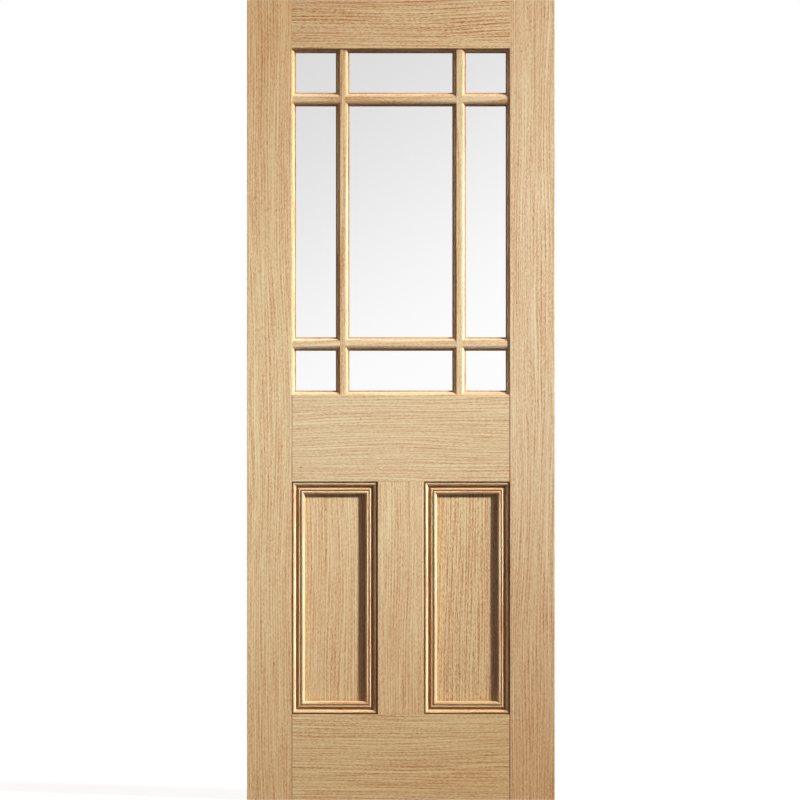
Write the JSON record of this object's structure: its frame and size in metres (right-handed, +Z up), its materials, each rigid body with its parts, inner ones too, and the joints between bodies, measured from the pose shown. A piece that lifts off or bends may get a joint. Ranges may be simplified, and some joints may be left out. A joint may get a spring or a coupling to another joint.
{
  "type": "glazed door",
  "caption": "Oak internal door leaf with a glazed upper half divided by glazing bars, flat moulded panels below, and plain lipped edges to take hinges and a latch.",
  "frame": {"origin": "on the hanging edge's flat face, at the foot of the leaf and the middle of its thickness", "axes": "+X across the leaf from the hanging edge to the closing edge, +Z up, and the face in the picture looks to -Y"},
  "size_m": [0.762, 0.035, 1.981],
  "materials": {
    "clear_glass": "gloss",
    "oak_bar": "satin",
    "oak_bead": "satin",
    "oak_frame": "satin",
    "oak_lipping": "satin",
    "oak_moulding": "satin",
    "oak_panel": "satin"
  },
  "bodies": {
    "root": {"bottom_rail": "oak_frame", "glazing_beads_bottom": "oak_bead", "glazing_beads_left": "oak_bead", "glazing_beads_right": "oak_bead", "glazing_beads_top": "oak_bead", "left_edge_lipping": "oak_lipping", "left_panel": "oak_panel", "left_panel_back_moulding_bottom": "oak_moulding", "left_panel_back_moulding_left": "oak_moulding", "left_panel_back_moulding_right": "oak_moulding", "left_panel_back_moulding_top": "oak_moulding", "left_panel_front_moulding_bottom": "oak_moulding", "left_panel_front_moulding_left": "oak_moulding", "left_panel_front_moulding_right": "oak_moulding", "left_panel_front_moulding_top": "oak_moulding", "left_stile": "oak_frame", "left_upright_bar": "oak_bar", "lock_rail": "oak_frame", "lower_cross_bar": "oak_bar", "muntin": "oak_frame", "pane_lower_left": "clear_glass", "pane_lower_middle": "clear_glass", "pane_lower_right": "clear_glass", "pane_middle_left": "clear_glass", "pane_middle_middle": "clear_glass", "pane_middle_right": "clear_glass", "pane_upper_left": "clear_glass", "pane_upper_middle": "clear_glass", "pane_upper_right": "clear_glass", "right_edge_lipping": "oak_lipping", "right_panel": "oak_panel", "right_panel_back_moulding_bottom": "oak_moulding", "right_panel_back_moulding_left": "oak_moulding", "right_panel_back_moulding_right": "oak_moulding", "right_panel_back_moulding_top": "oak_moulding", "right_panel_front_moulding_bottom": "oak_moulding", "right_panel_front_moulding_left": "oak_moulding", "right_panel_front_moulding_right": "oak_moulding", "right_panel_front_moulding_top": "oak_moulding", "right_stile": "oak_frame", "right_upright_bar": "oak_bar", "top_rail": "oak_frame", "upper_cross_bar": "oak_bar"}
  },
  "joints": []
}
